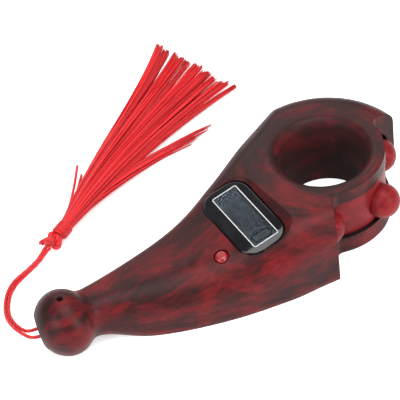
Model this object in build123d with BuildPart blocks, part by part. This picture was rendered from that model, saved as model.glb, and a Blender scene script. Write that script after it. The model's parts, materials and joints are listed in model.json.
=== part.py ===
from build123d import *
from collections import namedtuple
from math import cos, pi, radians, sin, sqrt, tan
import os

os.makedirs("parts", exist_ok=True)

# Frame: the finger hole's axis is Z, the counter lies on z = 0, +X points from the
# tail to the ring end, and the display faces up.

# Ring, from the finger hole's axis out: tube, bead carrier, beads and outer wall
finger_radius = 10.0
tube_wall = 1.9
carrier_clearance = 0.08
carrier_wall = 2.0
bead_stand = 0.92
bead_radius = 4.0
bead_clearance = 0.35
ring_wall = 2.05
rim_round = 2.4

# Ring, from the base up: lower case, bead channel and crown
part_height = 4.4
channel_headroom = 1.8
crown_depth = 3.5
head_shoulder = 5.7
head_shoulder_drop = 4.5

# Case, with places along the handle measured behind the ring's edge
wall = 1.7
floor_thickness = 2.0
foot_depth = 1.0
foot_inset = 1.2
foot_rise = 2.6
cavity_start = 12.0
cavity_behind = 35.2
waist_half_width = 5.0
waist_height = 12.2

# Bead wheel
bead_count = 6
bead_phase = -2.5
carrier_end_play = 0.15
bead_seat_gap = 0.02
peg_radius = 1.9
peg_clearance = 0.03
magnet_radius = 1.0
magnet_length = 3.0
magnet_clearance = 0.03
magnet_inset = 1.0

# Thumb opening in the ring wall, angles about Z
opening_start = -117.0
opening_end = 6.0
top_flange_gap = 0.2
bottom_flange_gap = 0.9
opening_flare = 2.4

# Display, on a plane tipped to the tail and to the near side
lens_behind = 3.1
lens_aside = -4.1
lens_fall = 2.8
lens_pitch = 8.5
lens_roll = 4.0
lens_length = 21.2
lens_width = 11.8
lens_corner = 4.2
lens_thickness = 1.2
lens_round = 0.5
lens_clearance = 0.12
lens_dish_slope = 44.0
lens_dish_height = 3.0
window_end_margin = 2.1
window_side_margin = 2.85
window_shift = 0.45
window_corner = 0.3
window_clearance = 0.04
lcd_end_border = 0.4
lcd_side_border = 0.75
lcd_thickness = 1.6
lcd_clearance = 0.15
display_rim = 1.2
zebra_end = 0.35
zebra_width = 1.8
zebra_inset = 1.1

# Circuit board, parallel to the display
board_thickness = 1.0
board_ring_edge = 1.4
board_tail_edge = -16.6
board_near_edge = -7.4
board_far_edge = 5.9
board_corner = 0.8
board_screw_x = -15.0
board_screw_ys = (-5.7, 4.1)
board_post_radius = 1.5
board_screw_radius = 0.75
board_screw_length = 4.2
board_screw_head_radius = 1.35
board_screw_head = 0.8
chip_spot = (-9.8, 1.9)
chip_radius = 2.6
chip_height = 1.2
chip_round = 0.8

# Reset button and its switch, at a spot on the display plane
button_spot = (-9.8, -5.6)
button_radius = 1.55
button_clearance = 0.15
button_proud = 0.45
button_round = 0.9
button_flange_radius = 2.4
button_flange = 0.7
button_guide_depth = 2.4
button_guide_radius = 3.3
button_gap = 0.1
button_travel = 0.5
button_spare = 0.2
plunger_radius = 0.8
plunger_clearance = 0.05
plunger_depth = 1.2
switch_length = 4.2
switch_width = 3.2
switch_height = 1.4
switch_floor = 0.15

# Reed switch behind the bead channel
reed_radius = 1.0
reed_length = 9.0
reed_gap = 0.35
lead_radius = 0.25
lead_length = 1.4

# Coin cell, contacts and battery door
cell_behind = 10.2
cell_aside = -4.2
cell_radius = 5.8
cell_height = 3.05
cell_clearance = 0.2
cell_rib = 1.0
cell_edge = 0.4
contact_thickness = 0.3
contact_radius = 4.5
strip_width = 5.0
strip_length = 6.6
strip_gap = 0.15
door_length = 14.4
door_width = 13.8
door_corner = 1.5
door_thickness = 1.2
door_clearance = 0.15
door_ear_reach = 5.0
door_ear_width = 5.0
door_screw_reach = 9.7
door_post_radius = 1.7
door_post_height = 5.2

# Case screws, each at a distance behind the ring and one aside
case_screw_places = ((10.2, -13.7), (10.2, 4.8), (29.7, -1.6))
screw_radius = 1.0
screw_length = 8.4
screw_head_radius = 1.9
screw_head = 1.0
screw_sink = 0.2
screw_clearance = 0.05
screw_slot_width = 0.5
screw_slot_depth = 0.5
boss_radius = 2.1
door_screw_radius = 0.75
door_screw_length = 4.4
door_screw_head_radius = 1.4
door_screw_head = 0.7

# Tail ball and cord anchor
ball_radius = 7.65
ball_reach = 6.6
ball_behind = 48.2
ball_sink = 3.5
waist_round = 3.5
ball_flat_radius = 1.7
mouth_turn = 18.0
mouth_dip = 10.0
mouth_reach = 5.8
mouth_clearance = 0.2
mouth_back = 2.6
pin_radius = 0.7
pin_clearance = 0.04
pin_bottom = 2.0
pin_top = 13.4

# Cord and tassel
cord_radius = 0.42
cord_pin_gap = 0.075
arc_share = 0.45
strand_exit = 0.9
strand_entry = 1.5
knot_center = Vector(-57.3, 28.3, 2.35)
tassel_turn = 27.0
knot_half_length = 2.3
knot_radius = 2.3
knot_face_radius = 1.45
neck_radius = 1.4
neck_length = 3.4
binding_wire_radius = 0.3
binding_turns = 2
binding_pitch = 1.02
binding_gap = 0.06
binding_start = 0.65
skirt_turn = 28.7
skirt_slant = -15.2
lock_turn = 13.0

# Sizes of the ring that follow from what it holds
tube_radius = finger_radius + tube_wall
carrier_inner = tube_radius + carrier_clearance
carrier_outer = carrier_inner + carrier_wall
bead_circle = carrier_outer + bead_stand
clear_radius = bead_radius + bead_clearance
bead_height = part_height + clear_radius
channel_radius = bead_circle + clear_radius
bead_room_top = bead_height + clear_radius
channel_top = bead_room_top + channel_headroom
channel_wall_radius = channel_radius + wall
head_radius = channel_radius + ring_wall
head_height = channel_top + crown_depth
cavity_end = head_radius + cavity_behind
ball_back = head_radius + ball_behind
handle_length = ball_behind - ball_sink
handle_end = head_radius + handle_length

# Sections of the case at distances back from the finger axis: half widths on the near and
# far sides, crown height, rounding and drop of each shoulder, underside and foot. Those
# behind the ring are spread along the handle by shares of its length.
Station = namedtuple(
    "Station", "back near far crown near_round near_drop far_round far_drop base foot_in foot_up"
)


def handle_station(back, near_in, far_in, fall, near_shoulder, far_shoulder):
    """A section that is narrower than the ring on each side, and lower, by the amounts given."""
    return Station(
        back,
        head_radius - near_in,
        head_radius - far_in,
        head_height - fall,
        *near_shoulder,
        *far_shoulder,
        -foot_depth,
        foot_inset,
        foot_rise,
    )


def share_back(share):
    """A place behind the ring's edge, at a share of the handle's length."""
    return head_radius + share * handle_length


head_turn = (head_shoulder, head_shoulder_drop)
stations = [
    handle_station(0.0, 0.0, 0.0, 0.0, head_turn, head_turn),
    handle_station(3.0, 0.1, 0.8, 0.0, (5.8, 4.9), (6.4, 5.4)),
    handle_station(6.0, 0.2, 1.8, 0.0, (5.9, 5.2), (7.0, 6.2)),
    handle_station(12.0, 0.9, 4.0, 0.0, (6.4, 6.2), (7.6, 7.4)),
    handle_station(18.0, 1.4, 6.7, 0.5, (7.4, 7.6), (7.2, 8.2)),
    handle_station(share_back(0.083), 2.4, 9.4, 2.2, (8.2, 8.6), (6.2, 8.4)),
    handle_station(share_back(0.262), 4.1, 12.2, 4.2, (9.0, 8.2), (5.3, 8.2)),
    handle_station(share_back(0.463), 6.9, 14.1, 5.5, (8.8, 7.4), (5.0, 7.4)),
    handle_station(share_back(0.664), 10.7, 15.0, 6.2, (7.0, 6.8), (4.8, 6.8)),
    Station(share_back(0.843), 6.9, 5.5, waist_height - 0.3, 5.0, 6.0, 4.3, 6.0, 0.7, 2.6, 3.4),
    Station(handle_end, waist_half_width, waist_half_width, waist_height, 4.2, 5.2, 4.2, 5.2, 1.8, 3.0, 3.6),
]

# Values that follow from the ones above
lens_center = (-head_radius - lens_behind, lens_aside, head_height - lens_fall)
window_length = lens_length - 2 * window_end_margin
window_width = lens_width - 2 * window_side_margin
lcd_length = window_length + 2 * lcd_end_border
lcd_width = window_width + 2 * lcd_side_border
zebra_length = board_far_edge - board_near_edge - 2 * zebra_end
cell_center = (-head_radius - cell_behind, cell_aside)
case_screw_spots = [(-head_radius - behind, aside) for behind, aside in case_screw_places]
ball_height = sqrt(ball_radius**2 - ball_flat_radius**2)
bight_radius = pin_radius + cord_pin_gap + cord_radius
mouth_radius = bight_radius + cord_radius + mouth_clearance
ball_center = Vector(-ball_back, 0, ball_height)
mouth_side = Vector(sin(radians(mouth_turn)), cos(radians(mouth_turn)), 0)
mouth_out = Vector(
    -cos(radians(mouth_turn)) * cos(radians(mouth_dip)),
    sin(radians(mouth_turn)) * cos(radians(mouth_dip)),
    -sin(radians(mouth_dip)),
)
big = 4 * head_radius + handle_end
display = Plane(
    origin=lens_center,
    x_dir=(1, 0, tan(radians(lens_pitch))),
    z_dir=(-tan(radians(lens_pitch)), -tan(radians(lens_roll)), 1),
)
lcd_bottom = lens_thickness + lcd_thickness
flange_bottom = button_guide_depth + button_gap + button_flange
board_depth = flange_bottom + button_travel + button_spare + switch_height
board_bottom = board_depth + board_thickness
cell_bottom = door_thickness + contact_thickness
cell_top = cell_bottom + cell_height
tassel_dir = Vector(cos(radians(tassel_turn)), sin(radians(tassel_turn)), 0)
tassel_side = Vector(-sin(radians(tassel_turn)), cos(radians(tassel_turn)), 0)


def section_face(station, inset):
    """One closed section of the case, drawn inset all round, on its own plane."""
    left = inset - station.near
    right = station.far - inset
    top = station.crown - inset
    base = station.base + inset
    near_round = station.near_round - inset
    far_round = station.far_round - inset
    near_spring = station.crown - station.near_drop
    far_spring = station.crown - station.far_drop
    near_rise = top - near_spring
    far_rise = top - far_spring
    foot = base + station.foot_up
    foot_in = station.foot_in
    with BuildSketch(Plane.YZ.offset(-station.back)) as face:
        with BuildLine():
            Line((left + foot_in, base), (right - foot_in, base))
            EllipticalCenterArc((right - foot_in, foot), foot_in, station.foot_up, 270, arc_size=90)
            Line((right, foot), (right, far_spring))
            EllipticalCenterArc((right - far_round, far_spring), far_round, far_rise, 0, arc_size=90)
            Line((right - far_round, top), (left + near_round, top))
            EllipticalCenterArc((left + near_round, near_spring), near_round, near_rise, 90, arc_size=90)
            Line((left, near_spring), (left, foot))
            EllipticalCenterArc((left + foot_in, foot), foot_in, station.foot_up, 180, arc_size=90)
        make_face()
    return face.sketch


def opening_face(radius):
    """The thumb opening in plan: all outside a radius, between two angles, with flared corners."""
    with BuildSketch() as face:
        with BuildLine():
            inner = CenterArc((0, 0), radius, opening_start, opening_end - opening_start)
            outer = CenterArc((0, 0), 2 * head_radius, opening_start, opening_end - opening_start)
            Line(inner @ 0, outer @ 0)
            Line(inner @ 1, outer @ 1)
        make_face()
        fillet(face.vertices().sort_by_distance((0, 0, 0))[:2], opening_flare)
    return face.sketch


def half_head_profile():
    """Half of the head's own section, from the axis out to the near side."""
    with BuildSketch(Plane(origin=(0, 0, 0), x_dir=(0, -1, 0), z_dir=(-1, 0, 0))) as face:
        foot = foot_rise - foot_depth
        spring = head_height - head_shoulder_drop
        crown = head_radius - head_shoulder
        with BuildLine():
            Line((0, -foot_depth), (head_radius - foot_inset, -foot_depth))
            EllipticalCenterArc((head_radius - foot_inset, foot), foot_inset, foot_rise, 270, arc_size=90)
            Line((head_radius, foot), (head_radius, spring))
            EllipticalCenterArc((crown, spring), head_shoulder, head_shoulder_drop, 0, arc_size=90)
            Line((crown, head_height), (0, head_height))
            Line((0, head_height), (0, -foot_depth))
        make_face()
    return face.sketch


def bead_plane(index):
    """Plane at a bead's centre that faces straight out from the finger axis."""
    angle = radians(bead_phase + index * 360 / bead_count)
    out = Vector(cos(angle), sin(angle), 0)
    return Plane(origin=out * bead_circle + Vector(0, 0, bead_height), z_dir=out)


# Outer form of the whole case, before it is parted
with BuildPart() as body:
    revolve(half_head_profile(), Axis.Z, 180)
    loft(sections=[section_face(station, 0) for station in stations])
    with BuildSketch(Plane(origin=ball_center, x_dir=(1, 0, 0), z_dir=(0, -1, 0))):
        Ellipse(ball_reach, ball_radius)
        Rectangle(2 * ball_reach, ball_radius, align=(Align.CENTER, Align.MAX), mode=Mode.SUBTRACT)
    revolve(axis=Axis(ball_center, (1, 0, 0)))
    fillet(body.edges(Select.NEW), waist_round)
    with BuildSketch(Plane(origin=ball_center + mouth_out * mouth_reach, z_dir=mouth_out)):
        Circle(ball_radius)
    extrude(amount=ball_radius, mode=Mode.SUBTRACT)
    Box(2 * big, big, big, align=(Align.CENTER, Align.CENTER, Align.MAX), mode=Mode.SUBTRACT)

# Room inside the handle, with what stands in it taken away
with BuildPart() as cavity:
    hollow = [station for station in stations if cavity_start <= station.back < handle_end]
    loft(sections=[section_face(station, wall) for station in hollow])
    with Locations((0, 0, floor_thickness)):
        Box(2 * big, big, big, align=(Align.CENTER, Align.CENTER, Align.MAX), mode=Mode.SUBTRACT)
    with Locations((-cavity_end, 0, 0)):
        Box(big, big, big, align=(Align.MAX, Align.CENTER, Align.CENTER), mode=Mode.SUBTRACT)
    Cylinder(channel_wall_radius, big, mode=Mode.SUBTRACT)
    with BuildSketch(display.offset(-lcd_bottom)):
        RectangleRounded(
            lens_width + 2 * display_rim, lens_length + 2 * display_rim, lens_corner + display_rim
        )
    extrude(amount=big, mode=Mode.SUBTRACT)
    with BuildSketch(display.offset(-button_guide_depth)):
        with Locations(button_spot):
            Circle(button_guide_radius)
    extrude(amount=big, mode=Mode.SUBTRACT)
    with BuildSketch(display.offset(-board_depth)):
        with Locations(*[(board_screw_x, y) for y in board_screw_ys]):
            Circle(board_post_radius)
    extrude(amount=big, mode=Mode.SUBTRACT)
    with Locations(*case_screw_spots):
        Cylinder(boss_radius, big, mode=Mode.SUBTRACT)

# Channel that the bead wheel runs in
with BuildPart() as channel:
    with BuildSketch(Plane.XZ):
        with BuildLine():
            Polyline(
                (bead_circle, bead_room_top),
                (bead_circle, channel_top),
                (tube_radius, channel_top),
                (tube_radius, part_height - wall),
                (channel_radius, part_height - wall),
                (channel_radius, bead_height),
            )
            CenterArc((bead_circle, bead_height), clear_radius, 0, 90)
        make_face()
    revolve(axis=Axis.Z)

# Finger hole, rolled over at the top
with BuildPart() as finger_hole:
    with BuildSketch(Plane.XZ):
        rim_radius = finger_radius + rim_round
        with BuildLine():
            Polyline(
                (finger_radius, head_height - rim_round),
                (finger_radius, -wall),
                (0, -wall),
                (0, head_height + wall),
                (rim_radius, head_height + wall),
                (rim_radius, head_height),
            )
            CenterArc((rim_radius, head_height - rim_round), rim_round, 90, 90)
        make_face()
    revolve(axis=Axis.Z)

# Upper case with the finger tube
with BuildPart() as top_shell:
    add(body)
    with Locations((0, 0, part_height)):
        Box(2 * big, big, big, align=(Align.CENTER, Align.CENTER, Align.MAX), mode=Mode.SUBTRACT)
    add(cavity, mode=Mode.SUBTRACT)
    add(channel, mode=Mode.SUBTRACT)
    extrude(opening_face(carrier_outer + top_flange_gap), big, mode=Mode.SUBTRACT)
    Cylinder(tube_radius, channel_top, align=(Align.CENTER, Align.CENTER, Align.MIN))
    add(finger_hole, mode=Mode.SUBTRACT)
    with BuildSketch(display.offset(-lens_thickness)):
        RectangleRounded(
            lens_width + 2 * lens_clearance, lens_length + 2 * lens_clearance, lens_corner + lens_clearance
        )
    extrude(amount=big, mode=Mode.SUBTRACT)
    with BuildSketch(display):
        RectangleRounded(
            lens_width + 2 * lens_clearance, lens_length + 2 * lens_clearance, lens_corner + lens_clearance
        )
    extrude(amount=lens_dish_height, taper=-lens_dish_slope, mode=Mode.SUBTRACT)
    with BuildSketch(display.offset(-lcd_bottom)):
        with Locations((window_shift, 0)):
            Rectangle(lcd_width + 2 * lcd_clearance, lcd_length + 2 * lcd_clearance)
    extrude(amount=lcd_bottom, mode=Mode.SUBTRACT)
    with BuildSketch(display.offset(-board_depth)):
        with Locations(button_spot):
            Circle(button_radius + button_clearance)
    extrude(amount=big, mode=Mode.SUBTRACT)
    with BuildSketch(display.offset(-board_depth)):
        with Locations(button_spot):
            Circle(button_flange_radius + button_clearance)
    extrude(amount=board_depth - button_guide_depth, mode=Mode.SUBTRACT)
    with BuildSketch(display.offset(-board_depth)):
        with Locations(*[(board_screw_x, y) for y in board_screw_ys]):
            Circle(board_screw_radius + screw_clearance)
    extrude(amount=board_screw_length - board_thickness + screw_sink, mode=Mode.SUBTRACT)
    with Locations(*case_screw_spots):
        Cylinder(
            screw_radius + screw_clearance,
            2 * (screw_sink + screw_length + screw_clearance),
            mode=Mode.SUBTRACT,
        )
    with BuildSketch(Plane(origin=ball_center - mouth_out * mouth_back, z_dir=mouth_out)):
        Circle(mouth_radius)
    extrude(amount=big, mode=Mode.SUBTRACT)
    with Locations((-ball_back, 0, part_height)):
        Cylinder(
            pin_radius + pin_clearance,
            big,
            align=(Align.CENTER, Align.CENTER, Align.MIN),
            mode=Mode.SUBTRACT,
        )
top_shell.part.label = "top_shell"
export_step(top_shell.part, "parts/top_shell.step")

# Lower case: tray, channel floor and battery seat
with BuildPart() as bottom_shell:
    add(body)
    with Locations((0, 0, part_height)):
        Box(2 * big, big, big, align=(Align.CENTER, Align.CENTER, Align.MIN), mode=Mode.SUBTRACT)
    add(cavity, mode=Mode.SUBTRACT)
    extrude(opening_face(carrier_outer + bottom_flange_gap), big, both=True, mode=Mode.SUBTRACT)
    Cylinder(tube_radius + carrier_clearance, big, mode=Mode.SUBTRACT)
    with BuildSketch(Plane.XY.offset(floor_thickness)):
        with Locations(cell_center):
            Circle(cell_radius + cell_clearance + cell_rib)
            Circle(cell_radius + cell_clearance, mode=Mode.SUBTRACT)
    extrude(amount=part_height - floor_thickness)
    with Locations((cell_center[0] - door_screw_reach, cell_center[1], door_thickness)):
        Cylinder(
            door_post_radius,
            door_post_height - door_thickness,
            align=(Align.CENTER, Align.CENTER, Align.MIN),
        )
    with BuildSketch():
        with Locations(cell_center):
            RectangleRounded(
                door_length + 2 * door_clearance,
                door_width + 2 * door_clearance,
                door_corner + door_clearance,
            )
        with Locations((cell_center[0] - door_length / 2 - door_ear_reach / 2, cell_center[1])):
            Rectangle(door_ear_reach + 2 * door_clearance, door_ear_width + 2 * door_clearance)
    extrude(amount=door_thickness, mode=Mode.SUBTRACT)
    with Locations(cell_center):
        Cylinder(cell_radius + cell_clearance, 2 * part_height, mode=Mode.SUBTRACT)
    with Locations((cell_center[0] - door_screw_reach, cell_center[1], 0)):
        Cylinder(
            door_screw_radius + screw_clearance,
            2 * (screw_sink + door_screw_length + screw_clearance),
            mode=Mode.SUBTRACT,
        )
    with Locations(*case_screw_spots):
        Cylinder(screw_radius + screw_clearance, big, mode=Mode.SUBTRACT)
        Cylinder(screw_head_radius + screw_clearance, 2 * screw_sink, mode=Mode.SUBTRACT)
    with Locations(*[(x, y, screw_sink) for x, y in case_screw_spots]):
        Cone(
            screw_head_radius + screw_clearance,
            screw_radius + screw_clearance,
            screw_head + screw_clearance,
            align=(Align.CENTER, Align.CENTER, Align.MIN),
            mode=Mode.SUBTRACT,
        )
    with Locations((-ball_back, 0, pin_bottom)):
        Cylinder(
            pin_radius + pin_clearance,
            part_height,
            align=(Align.CENTER, Align.CENTER, Align.MIN),
            mode=Mode.SUBTRACT,
        )
bottom_shell.part.label = "bottom_shell"
export_step(bottom_shell.part, "parts/bottom_shell.step")

# Carrier band that turns on the finger tube
with BuildPart() as bead_carrier:
    with BuildSketch(Plane.XY.offset(part_height + carrier_end_play)):
        Circle(carrier_outer)
        Circle(carrier_inner, mode=Mode.SUBTRACT)
    extrude(amount=channel_top - part_height - 2 * carrier_end_play)
    for index in range(bead_count):
        with BuildSketch(bead_plane(index)):
            Circle(peg_radius + peg_clearance)
        extrude(amount=-bead_circle, mode=Mode.SUBTRACT)
bead_carrier.part.label = "bead_carrier"
export_step(bead_carrier.part, "parts/bead_carrier.step")

# Beads, each with a peg into the carrier and a magnet in the peg's bore
peg_back = carrier_inner + carrier_clearance
magnet_start = peg_back + magnet_inset
for index in range(bead_count):
    plane = bead_plane(index)
    with BuildPart() as bead:
        with Locations(plane.location):
            Sphere(bead_radius)
        Cylinder(carrier_outer + bead_seat_gap, big, mode=Mode.SUBTRACT)
        with BuildSketch(plane):
            Circle(peg_radius)
        extrude(amount=peg_back - bead_circle)
        with BuildSketch(plane):
            Circle(magnet_radius + magnet_clearance)
        extrude(amount=magnet_start + magnet_length - bead_circle, mode=Mode.SUBTRACT)
        with BuildSketch(plane):
            Circle(magnet_radius + magnet_clearance)
        extrude(amount=-bead_circle, mode=Mode.SUBTRACT)
    bead.part.label = f"bead_{index + 1}"
    export_step(bead.part, f"parts/bead_{index + 1}.step")

    with BuildPart() as magnet:
        with BuildSketch(plane.offset(magnet_start - bead_circle)):
            Circle(magnet_radius)
        extrude(amount=magnet_length)
    magnet.part.label = f"bead_magnet_{index + 1}"
    export_step(magnet.part, f"parts/bead_magnet_{index + 1}.step")

# Black lens round the display window
with BuildPart() as display_lens:
    with BuildSketch(display.offset(-lens_thickness)):
        RectangleRounded(lens_width, lens_length, lens_corner)
        with Locations((window_shift, 0)):
            RectangleRounded(window_width, window_length, window_corner, mode=Mode.SUBTRACT)
    extrude(amount=lens_thickness)
    lens_top = display_lens.faces().sort_by(Axis((0, 0, 0), display.z_dir))[-1]
    fillet(lens_top.outer_wire().edges(), lens_round)
display_lens.part.label = "display_lens"
export_step(display_lens.part, "parts/display_lens.step")

# Clear window flush with the lens
with BuildPart() as display_window:
    with BuildSketch(display.offset(-lens_thickness)):
        with Locations((window_shift, 0)):
            RectangleRounded(
                window_width - 2 * window_clearance,
                window_length - 2 * window_clearance,
                window_corner - window_clearance,
            )
    extrude(amount=lens_thickness)
display_window.part.label = "display_window"
export_step(display_window.part, "parts/display_window.step")

# Liquid crystal panel under the lens
with BuildPart() as lcd_panel:
    with BuildSketch(display.offset(-lcd_bottom)):
        with Locations((window_shift, 0)):
            Rectangle(lcd_width, lcd_length)
    extrude(amount=lcd_thickness)
lcd_panel.part.label = "lcd_panel"
export_step(lcd_panel.part, "parts/lcd_panel.step")

# Rubber connector between the panel's tail edge and the board
with BuildPart() as zebra_strip:
    with BuildSketch(display.offset(-board_depth)):
        with Locations((window_shift - lcd_width / 2 + zebra_inset, (board_near_edge + board_far_edge) / 2)):
            Rectangle(zebra_width, zebra_length)
    extrude(amount=board_depth - lcd_bottom)
zebra_strip.part.label = "zebra_strip"
export_step(zebra_strip.part, "parts/zebra_strip.step")

# Circuit board
with BuildPart() as circuit_board:
    with BuildSketch(display.offset(-board_bottom)):
        with Locations(((board_ring_edge + board_tail_edge) / 2, (board_near_edge + board_far_edge) / 2)):
            RectangleRounded(
                board_ring_edge - board_tail_edge, board_far_edge - board_near_edge, board_corner
            )
        with Locations(*[(board_screw_x, y) for y in board_screw_ys]):
            Circle(board_screw_radius + screw_clearance, mode=Mode.SUBTRACT)
    extrude(amount=board_thickness)
circuit_board.part.label = "circuit_board"
export_step(circuit_board.part, "parts/circuit_board.step")

# Resin blob over the counting chip
with BuildPart() as chip_blob:
    with BuildSketch(display.offset(-board_depth)):
        with Locations(chip_spot):
            Circle(chip_radius)
    extrude(amount=chip_height)
    fillet(chip_blob.faces().sort_by(Axis((0, 0, 0), display.z_dir))[-1].edges(), chip_round)
chip_blob.part.label = "chip_blob"
export_step(chip_blob.part, "parts/chip_blob.step")

# Board screws, driven up into the posts of the upper case
with BuildPart() as board_screws:
    with BuildSketch(display.offset(-board_bottom - board_screw_head)):
        with Locations(*[(board_screw_x, y) for y in board_screw_ys]):
            Circle(board_screw_head_radius)
    extrude(amount=board_screw_head)
    with BuildSketch(display.offset(-board_bottom)):
        with Locations(*[(board_screw_x, y) for y in board_screw_ys]):
            Circle(board_screw_radius)
    extrude(amount=board_screw_length)
    with BuildSketch(display.offset(-board_bottom - board_screw_head)):
        with Locations(*[(board_screw_x, y) for y in board_screw_ys]):
            Rectangle(screw_slot_width, 2 * board_screw_head_radius)
    extrude(amount=screw_slot_depth, mode=Mode.SUBTRACT)
board_screws.part.label = "board_screws"
export_step(board_screws.part, "parts/board_screws.step")

# Reset switch: a housing on the board and its plunger
with BuildPart() as reset_switch:
    with BuildSketch(display.offset(-board_depth)):
        with Locations(button_spot):
            Rectangle(switch_length, switch_width)
    extrude(amount=switch_height)
    with BuildSketch(display.offset(-board_depth + switch_floor)):
        with Locations(button_spot):
            Circle(plunger_radius + plunger_clearance)
    extrude(amount=switch_height, mode=Mode.SUBTRACT)
reset_switch.part.label = "reset_switch"
export_step(reset_switch.part, "parts/reset_switch.step")

with BuildPart() as reset_plunger:
    with BuildSketch(display.offset(-flange_bottom)):
        with Locations(button_spot):
            Circle(plunger_radius)
    extrude(amount=-plunger_depth)
reset_plunger.part.label = "reset_plunger"
export_step(reset_plunger.part, "parts/reset_plunger.step")

# Reset button: domed cap with a flange that keeps it in the case
with BuildPart() as reset_button:
    with BuildSketch(display.offset(-flange_bottom)):
        with Locations(button_spot):
            Circle(button_radius)
    extrude(amount=flange_bottom + button_proud)
    fillet(reset_button.faces().sort_by(Axis((0, 0, 0), display.z_dir))[-1].edges(), button_round)
    with BuildSketch(display.offset(-flange_bottom)):
        with Locations(button_spot):
            Circle(button_flange_radius)
    extrude(amount=button_flange)
reset_button.part.label = "reset_button"
export_step(reset_button.part, "parts/reset_button.step")

# Reed switch across the handle behind the bead channel, with its two leads up to the board
board_ring_foot = display.from_local_coords((board_ring_edge, 0, -board_bottom))
reed_x = -channel_wall_radius - reed_gap - reed_radius
reed_z = board_ring_foot.Z - reed_gap - 2 * reed_radius
with BuildPart() as reed_switch:
    with BuildSketch(Plane.XZ.offset(-reed_length / 2)):
        with Locations((reed_x, reed_z)):
            Circle(reed_radius)
    extrude(amount=reed_length)
    fillet(reed_switch.edges().filter_by(GeomType.CIRCLE), reed_radius / 2)
reed_switch.part.label = "reed_switch"
export_step(reed_switch.part, "parts/reed_switch.step")

with BuildPart() as reed_leads:
    for side in (-1, 1):
        end = side * (reed_length / 2)
        bend = side * (reed_length / 2 + lead_length)
        with BuildSketch(Plane.XZ.offset(-end)):
            with Locations((reed_x, reed_z)):
                Circle(lead_radius)
        extrude(amount=-side * lead_length)
        foot = display.to_local_coords(Vector(reed_x, bend, reed_z))
        with BuildSketch(Plane(origin=(reed_x, bend, reed_z), z_dir=display.z_dir)):
            Circle(lead_radius)
        extrude(amount=-board_bottom - foot.Z)
        with Locations((reed_x, bend, reed_z)):
            Sphere(lead_radius)
reed_leads.part.label = "reed_leads"
export_step(reed_leads.part, "parts/reed_leads.step")

# Coin cell
with BuildPart() as coin_cell:
    with BuildSketch(Plane.XY.offset(cell_bottom)):
        with Locations(cell_center):
            Circle(cell_radius)
    extrude(amount=cell_height)
    fillet(coin_cell.edges().filter_by(GeomType.CIRCLE), cell_edge)
coin_cell.part.label = "coin_cell"
export_step(coin_cell.part, "parts/coin_cell.step")

# Minus contact on the door, plus contact over the cell with a leg to the board
with BuildPart() as minus_contact:
    with BuildSketch(Plane.XY.offset(door_thickness)):
        with Locations(cell_center):
            Circle(contact_radius)
    extrude(amount=contact_thickness)
minus_contact.part.label = "minus_contact"
export_step(minus_contact.part, "parts/minus_contact.step")

leg_x = cell_center[0] - strip_length
leg_local = display.to_local_coords(Vector(leg_x, cell_center[1] - strip_width / 2, cell_top))
leg_length = -board_bottom - strip_gap - leg_local.Z
with BuildPart() as plus_contact:
    with BuildSketch(Plane.XY.offset(cell_top)):
        with Locations((cell_center[0] - strip_length / 2, cell_center[1])):
            Rectangle(strip_length, strip_width)
    extrude(amount=contact_thickness)
    with BuildSketch(Plane.XY.offset(cell_top)):
        with Locations((leg_x + contact_thickness / 2, cell_center[1])):
            Rectangle(contact_thickness, strip_width)
    extrude(amount=leg_length)
plus_contact.part.label = "plus_contact"
export_step(plus_contact.part, "parts/plus_contact.step")

# Battery door with an ear for its screw
with BuildPart() as battery_door:
    with BuildSketch():
        with Locations(cell_center):
            RectangleRounded(door_length, door_width, door_corner)
        with Locations((cell_center[0] - door_length / 2 - door_ear_reach / 2, cell_center[1])):
            Rectangle(door_ear_reach, door_ear_width)
    extrude(amount=door_thickness)
    with Locations((cell_center[0] - door_screw_reach, cell_center[1], 0)):
        Cylinder(door_screw_radius + screw_clearance, 2 * part_height, mode=Mode.SUBTRACT)
        Cylinder(
            door_screw_head_radius + screw_clearance,
            2 * (screw_sink + door_screw_head),
            mode=Mode.SUBTRACT,
        )
battery_door.part.label = "battery_door"
export_step(battery_door.part, "parts/battery_door.step")

with BuildPart() as door_screw:
    with Locations((cell_center[0] - door_screw_reach, cell_center[1], screw_sink)):
        Cylinder(door_screw_head_radius, door_screw_head, align=(Align.CENTER, Align.CENTER, Align.MIN))
        Cylinder(door_screw_radius, door_screw_length, align=(Align.CENTER, Align.CENTER, Align.MIN))
        Box(
            2 * door_screw_head_radius,
            screw_slot_width,
            2 * screw_slot_depth,
            mode=Mode.SUBTRACT,
        )
door_screw.part.label = "door_screw"
export_step(door_screw.part, "parts/door_screw.step")

# Case screws, heads sunk in the base
with BuildPart() as case_screws:
    with Locations(*[(x, y, screw_sink) for x, y in case_screw_spots]):
        Cone(
            screw_head_radius,
            screw_radius,
            screw_head,
            align=(Align.CENTER, Align.CENTER, Align.MIN),
        )
        Cylinder(screw_radius, screw_length, align=(Align.CENTER, Align.CENTER, Align.MIN))
        Box(2 * screw_head_radius, screw_slot_width, 2 * screw_slot_depth, mode=Mode.SUBTRACT)
        Box(screw_slot_width, 2 * screw_head_radius, 2 * screw_slot_depth, mode=Mode.SUBTRACT)
case_screws.part.label = "case_screws"
export_step(case_screws.part, "parts/case_screws.step")

# Pin that stands in the tail ball and holds the cord
with BuildPart() as cord_pin:
    with Locations((-ball_back, 0, pin_bottom)):
        Cylinder(pin_radius, pin_top - pin_bottom, align=(Align.CENTER, Align.CENTER, Align.MIN))
cord_pin.part.label = "cord_pin"
export_step(cord_pin.part, "parts/cord_pin.step")

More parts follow.
